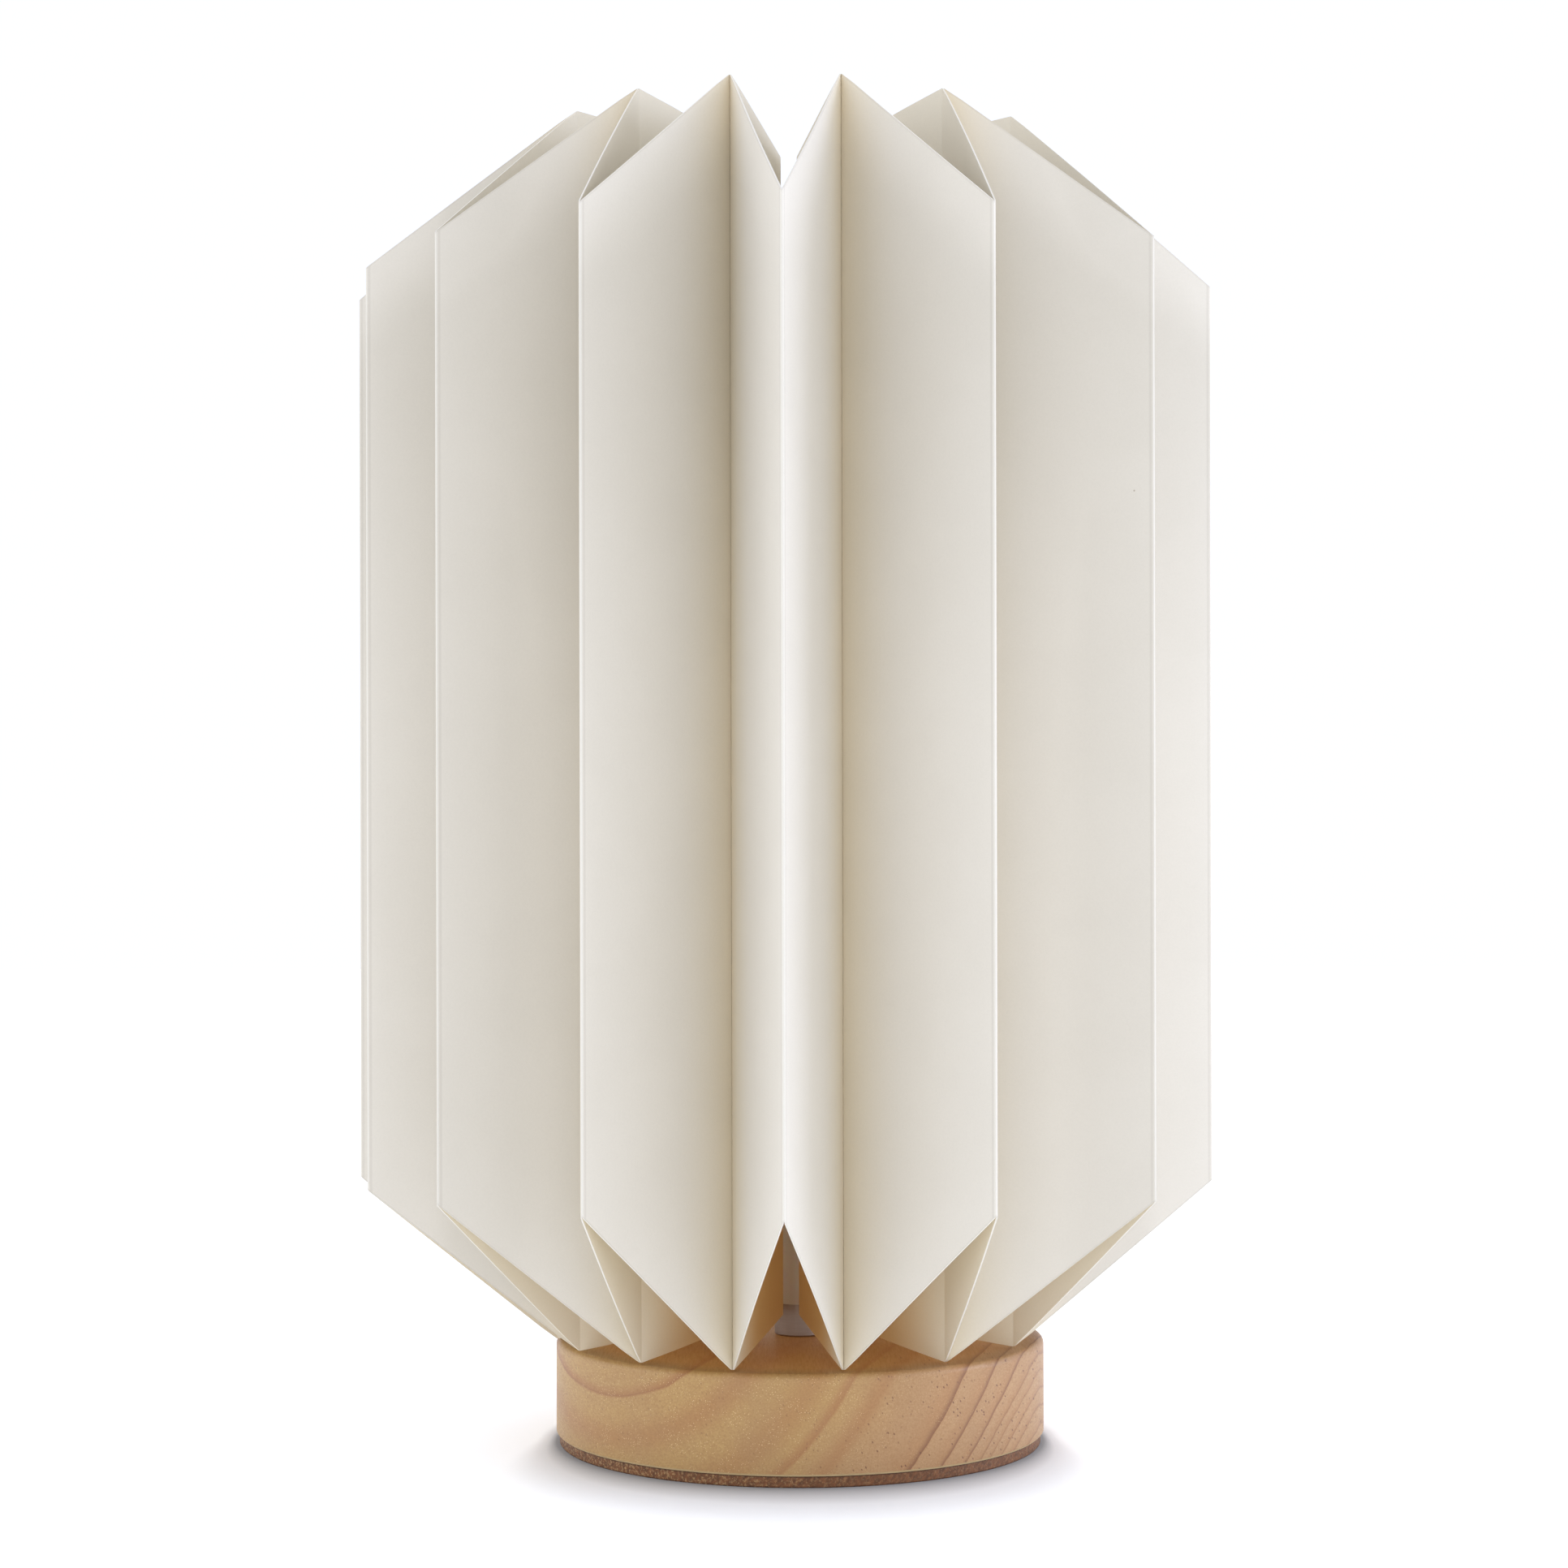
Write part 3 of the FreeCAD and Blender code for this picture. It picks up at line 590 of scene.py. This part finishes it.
def walk(distance, start, stretches):
    """The point at a distance along a line made of arcs and straights, each a length and a turn."""
    x, y, heading = start
    for run, turn in stretches:
        part = min(distance, run)
        if turn:
            radius = run / turn
            ahead = heading + part / radius
            x += radius * (math.sin(ahead) - math.sin(heading))
            y -= radius * (math.cos(ahead) - math.cos(heading))
            heading = ahead
        else:
            x += part * math.cos(heading)
            y += part * math.sin(heading)
        distance -= part
        if distance <= 0:
            break
    return x, y, heading


def half_section(half, paper):
    """Half of a leaf's section, from its outer fold to the end of its flap.

    The fold is rounded inside the corner where the two panels would meet, so the corner is found
    first, then the panel's slope to it, and then the point where the round fold really is.
    """
    crease_u = CREASE_RADIUS * math.cos(half)
    crease_v = CREASE_RADIUS * math.sin(half)
    reach_u = crease_u + math.sqrt(PANEL_WIDTH ** 2 - crease_v ** 2)
    rough_opening = math.atan2(crease_v, reach_u - crease_u)
    corner_u = reach_u + paper.fold_bend * (1 / math.sin(rough_opening) - 1)
    opening = math.atan2(crease_v, corner_u - crease_u)
    crown_u = corner_u - paper.fold_bend * (1 / math.sin(opening) - 1)
    fold_turn = math.pi / 2 - opening
    crease_turn = opening + half
    fold_reach = paper.fold_bend * math.tan(fold_turn)
    crease_reach = paper.crease_bend * math.tan(crease_turn / 2)
    panel = math.hypot(corner_u - crease_u, crease_v) - fold_reach - crease_reach
    flap = CREASE_RADIUS - FIN_INNER_RADIUS - crease_reach
    stretches = [
        (paper.fold_bend * fold_turn, fold_turn),
        (panel, 0),
        (paper.crease_bend * crease_turn, crease_turn),
        (flap, 0),
    ]
    return (crown_u, 0, math.pi / 2), stretches


def sheet_columns(stretches):
    """Distances from the outer fold where the sheet's mesh has its columns."""
    counts = (FOLD_COLUMNS, PANEL_COLUMNS, CREASE_COLUMNS, FLAP_COLUMNS)
    columns = [0]
    for (run, _), count in zip(stretches, counts):
        start = columns[-1]
        columns += [start + run * (step + 1) / count for step in range(count)]
    return columns


def edge_drop(distance):
    """How far the cut edge stands back from the tips, at a distance from the outer fold."""
    fold_drop = (LEAF_HEIGHT - FOLD_HEIGHT) / 2
    fin_slope = FIN_EDGE_DROP / (CREASE_RADIUS - FIN_INNER_RADIUS)
    panel_slope = fold_drop / PANEL_WIDTH
    from_crease = distance - PANEL_WIDTH
    straight = -from_crease * panel_slope if from_crease < 0 else from_crease * fin_slope
    near = max(0, 1 - abs(from_crease) / TIP_REACH)
    return straight + TIP_DEPTH * near ** 2


def lay_out_sheet(columns):
    """Half a leaf laid out flat: across is the distance from the outer fold, up is the height."""
    bm = bmesh.new()
    uv = bm.loops.layers.uv.new("sheet")
    to_edge = bm.verts.layers.float.new("to_edge")
    bmesh.ops.create_grid(bm, x_segments=len(columns) - 1, y_segments=SHEET_ROWS, size=0.5)
    for vert in bm.verts:
        distance = columns[round((vert.co.x + 0.5) * (len(columns) - 1))]
        share = vert.co.y + 0.5
        drop = edge_drop(distance)
        height = drop + share * (LEAF_HEIGHT - 2 * drop)
        vert[to_edge] = min(height - drop, LEAF_HEIGHT - drop - height) / MM
        vert.co = Vector((distance, height, 0))
    for face in bm.faces:
        for loop in face.loops:
            loop[uv].uv = (loop.vert.co.x / MM, loop.vert.co.y / MM)
    return bm


def fold_sheet(bm, start, stretches, paper, number):
    """Rolls the flat half round its folds, with a slight bow and unevenness in its panel."""
    panel_start, panel_run = stretches[0][0], stretches[1][0]
    for vert in bm.verts:
        distance, height, _ = vert.co
        x, y, heading = walk(distance, start, stretches)
        share = (distance - panel_start) / panel_run
        stand = 0
        if 0 < share < 1:
            spot = Vector((share * RIPPLE_WAVES, height / RIPPLE_LENGTH, number * RIPPLE_STEP))
            slack = math.sin(math.pi * share)
            stand = slack * (paper.bow + paper.ripple * noise.noise(spot))
        out = Vector((math.sin(heading), -math.cos(heading), 0))
        vert.co = Vector((x, y, height)) + out * stand


def make_leaf(name, left_fin, right_fin, paper, bottom, number):
    """One folded sheet: half of it is laid out flat, folded, mirrored and given its thickness."""
    half = math.radians(right_fin - left_fin) / 2
    start, stretches = half_section(half, paper)
    bm = lay_out_sheet(sheet_columns(stretches))
    fold_sheet(bm, start, stretches, paper, number)
    everything = bm.verts[:] + bm.edges[:] + bm.faces[:]
    bmesh.ops.mirror(bm, geom=everything, axis="Y", merge_dist=MERGE_DISTANCE)
    bmesh.ops.recalc_face_normals(bm, faces=bm.faces[:])
    if sum(face.normal.x * face.calc_area() for face in bm.faces) < 0:
        bmesh.ops.reverse_faces(bm, faces=bm.faces[:])
    turn = Matrix.Rotation(math.radians((left_fin + right_fin) / 2 - 90), 4, "Z")
    spot = Matrix.Translation((SHADE_OFFSET_X, 0, bottom)) @ turn
    bmesh.ops.transform(bm, matrix=spot, verts=bm.verts[:])
    outer = set(bm.verts)
    bmesh.ops.solidify(bm, geom=bm.faces[:], thickness=paper.thickness)
    cut_edge = bm.loops.layers.float.new("cut_edge")
    inner_face = bm.loops.layers.float.new("inner_face")
    for face in bm.faces:
        shared = sum(vert in outer for vert in face.verts)
        for loop in face.loops:
            loop[cut_edge] = float(0 < shared < len(face.verts))
            loop[inner_face] = float(shared == 0)
    return finish_mesh(bm, name, "shade")


def finish_mesh(bm, name, body):
    """Turns a bmesh into a piece that rides on a body, smooth except at its sharp edges."""
    for face in bm.faces:
        face.smooth = True
    for edge in bm.edges:
        if len(edge.link_faces) == 2 and edge.calc_face_angle() > SHARP_ANGLE:
            edge.smooth = False
    mesh = bpy.data.meshes.new(name)
    bm.to_mesh(mesh)
    bm.free()
    piece = bpy.data.objects.new(name, mesh)
    bpy.context.scene.collection.objects.link(piece)
    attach(piece, body)
    return piece


class LAMP_OT_paper_leaves(Operator):
    """Folds the paper leaves of the shade"""
    bl_idname = "lamp.paper_leaves"
    bl_label = "Paper Leaves"

    def execute(self, context):
        paper = context.scene.lamp_paper
        finish = paper_finish(paper)
        fins = fin_angles()
        for number, left_fin in enumerate(fins):
            right_fin = fins[number + 1] if number + 1 < len(fins) else fins[0] + 360
            node = "leaf_%02d" % (number + 1)
            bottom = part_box(node)[0].z
            piece = make_leaf("paper_" + node, left_fin, right_fin, paper, bottom, number)
            piece.data.materials.append(finish)
            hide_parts(node)
        return {"FINISHED"}


class LAMP_OT_wood_base(Operator):
    """Finishes the turned wood"""
    bl_idname = "lamp.wood_base"
    bl_label = "Wooden Base"

    def execute(self, context):
        dress(wood_finish(context.scene.lamp_wood), "wood_base")
        return {"FINISHED"}


class LAMP_OT_base_plate(Operator):
    """Finishes the board under the wood and its screws"""
    bl_idname = "lamp.base_plate"
    bl_label = "Base Plate"

    def execute(self, context):
        dress(plate_finish(context.scene.lamp_plate), "base_plate")
        dress(metal_finish("steel", srgb(190, 188, 184), 0.3), "plate_screws")
        return {"FINISHED"}


class LAMP_OT_cable_bush(Operator):
    """Finishes the bush in the cable hole"""
    bl_idname = "lamp.cable_bush"
    bl_label = "Cable Bush"

    def execute(self, context):
        dress(plastic_finish("grommet", srgb(232, 229, 222), 0.45), "cable_grommet")
        return {"FINISHED"}


class LAMP_OT_light_column(Operator):
    """Finishes the light column, inside and out"""
    bl_idname = "lamp.light_column"
    bl_label = "Light Column"

    def execute(self, context):
        column = context.scene.lamp_column
        dress(metal_finish("foot", tuple(column.foot), 0.38, TURNED), "column_foot")
        zinc = metal_finish("zinc", srgb(196, 194, 188), 0.28, TURNED)
        dress(zinc, "mounting_stud", "stud_washer", "stud_nut")
        dress(opal_finish(column), "diffuser_tube")
        dress(plastic_finish("cap", tuple(column.cap), 0.4), "tube_cap")
        dress(metal_finish("aluminium", srgb(205, 206, 208), 0.32, DRAWN), "light_bar")
        dress(plastic_finish("strip", srgb(238, 236, 228), 0.35), "led_strip")
        dress(plastic_finish("emitter", srgb(240, 205, 90), 0.25), "led_chips")
        return {"FINISHED"}


class LAMP_OT_driver(Operator):
    """Finishes the driver board, its components and its leads"""
    bl_idname = "lamp.driver"
    bl_label = "Driver"

    def execute(self, context):
        dress(board_finish(), "driver_board")
        dress(plastic_finish("nylon", srgb(225, 224, 214), 0.4), "board_spacers")
        dress(metal_finish("screw_steel", srgb(170, 168, 164), 0.3), "board_screws")
        terminal = plastic_finish("terminal", srgb(30, 122, 72), 0.42)
        dress(terminal, "output_terminal", "input_terminal")
        dress(plastic_finish("coil", srgb(58, 56, 58), 0.55), "inductor")
        dress(metal_finish("can", srgb(186, 190, 196), 0.25), "capacitor")
        dress(plastic_finish("chip", srgb(30, 30, 32), 0.5), "driver_chip")
        dress(plastic_finish("lead_red", srgb(186, 30, 26), 0.4), "lead_red")
        dress(plastic_finish("lead_black", srgb(28, 28, 30), 0.4), "lead_black")
        return {"FINISHED"}


class LAMP_OT_stage(Operator):
    """Sets up the floor, the light and the camera"""
    bl_idname = "lamp.stage"
    bl_label = "Stage"

    def execute(self, context):
        stage = context.scene.lamp_stage
        make_floor(stage)
        make_surround(stage)
        add_light("right", LIGHT_DISTANCE, stage.right, COOL_TINT)
        add_light("left", -LIGHT_DISTANCE, stage.left, WHITE)
        make_camera()
        context.scene.view_settings.view_transform = "Standard"
        return {"FINISHED"}


def make_floor(stage):
    """A wide pale floor with its own light, and a painted soft shadow by the base that is wide in
    front.
    """
    finish = Finish("floor")
    where = finish.place()
    across, along, _ = finish.split(where)
    reach = (across * across + along * along) ** 0.5
    in_front = (-1 * along / reach).clamped() ** 1.5 * (1 - FLOOR_SIDE) + FLOOR_SIDE
    away = (reach - BASE_RADIUS / MM) / in_front
    mottle = finish.noise(where, 300, 2)
    tint = tuple(stage.floor)
    pale = finish.mix(mottle, tuned(tint, 0.995), tint)
    # Painted shadow: the floor darkens close to the base, most in front
    contact_shadow = (1 - (away / FLOOR_SHADOW_REACH).clamped()) ** 1.2
    finish.surface(
        Base_Color=finish.mix(contact_shadow, pale, tuned(tint, 0.45)),
        Roughness=0.9,
        Specular_IOR_Level=0.1,
        Emission_Color=finish.mix(away.smooth(*FLOOR_LIGHT), BLACK, WHITE),
        Emission_Strength=stage.floor_light,
    )
    bm = bmesh.new()
    bmesh.ops.create_grid(bm, x_segments=4, y_segments=4, size=FLOOR_REACH)
    mesh = bpy.data.meshes.new("floor")
    bm.to_mesh(mesh)
    bm.free()
    mesh.materials.append(finish.material)
    floor = bpy.data.objects.new("floor", mesh)
    bpy.context.scene.collection.objects.link(floor)


def make_surround(stage):
    """Even, faintly cool light from all round."""
    world = bpy.data.worlds.new("surround")
    world.use_nodes = True
    background = next(n for n in world.node_tree.nodes if n.type == "BACKGROUND")
    background.inputs["Color"].default_value = (*stage.sky, 1)
    background.inputs["Strength"].default_value = 1
    bpy.context.scene.world = world


def add_light(name, across, power, tint):
    """A square soft box beside the lamp that faces the shade's middle."""
    data = bpy.data.lights.new(name, "AREA")
    data.size = LIGHT_SIZE
    data.energy = power
    data.color = tint
    light = bpy.data.objects.new(name, data)
    light.location = (across, 0, LIGHT_HEIGHT)
    aim = Vector(LIGHT_AIM) - Vector((across, 0, LIGHT_HEIGHT))
    light.rotation_euler = aim.to_track_quat("-Z", "Y").to_euler()
    bpy.context.scene.collection.objects.link(light)


def make_camera():
    """The camera, level, in front of the shade's lower half and shifted up to frame the lamp."""
    data = bpy.data.cameras.new("camera")
    data.sensor_width = CAMERA_SENSOR
    data.lens = CAMERA_LENS
    data.shift_y = CAMERA_SHIFT
    data.clip_start, data.clip_end = CAMERA_RANGE
    camera = bpy.data.objects.new("camera", data)
    camera.location = CAMERA_PLACE
    camera.rotation_euler = (math.pi / 2, CAMERA_ROLL, 0)
    bpy.context.scene.collection.objects.link(camera)
    bpy.context.scene.camera = camera


class LAMP_PT_panel(Panel):
    """Lists the lamp's pieces and settings"""
    bl_idname = "LAMP_PT_panel"
    bl_label = "Paper Lamp"
    bl_space_type = "VIEW_3D"
    bl_region_type = "UI"
    bl_category = "Paper Lamp"

    def draw(self, context):
        for name in SETTINGS:
            box = self.layout.box()
            settings = getattr(context.scene, name)
            for key in settings.bl_rna.properties.keys():
                if key not in ("rna_type", "name"):
                    box.prop(settings, key)
        for operator in OPERATORS:
            self.layout.operator(operator.bl_idname)


SETTINGS = {
    "lamp_paper": PaperSettings,
    "lamp_wood": WoodSettings,
    "lamp_plate": PlateSettings,
    "lamp_column": ColumnSettings,
    "lamp_stage": StageSettings,
}
OPERATORS = (
    LAMP_OT_paper_leaves,
    LAMP_OT_wood_base,
    LAMP_OT_base_plate,
    LAMP_OT_cable_bush,
    LAMP_OT_light_column,
    LAMP_OT_driver,
    LAMP_OT_stage,
)


def register():
    """Registers the classes and hangs the settings on the scene."""
    for kind in (*SETTINGS.values(), *OPERATORS, LAMP_PT_panel):
        bpy.utils.register_class(kind)
    for name, kind in SETTINGS.items():
        setattr(bpy.types.Scene, name, PointerProperty(type=kind))


def unregister():
    """Takes back what register did."""
    for name in SETTINGS:
        delattr(bpy.types.Scene, name)
    for kind in reversed((*SETTINGS.values(), *OPERATORS, LAMP_PT_panel)):
        bpy.utils.unregister_class(kind)


def main():
    """Makes every piece and the stage."""
    register()
    for operator in OPERATORS:
        group, action = operator.bl_idname.split(".")
        getattr(getattr(bpy.ops, group), action)()


if __name__ == "__main__":
    main()
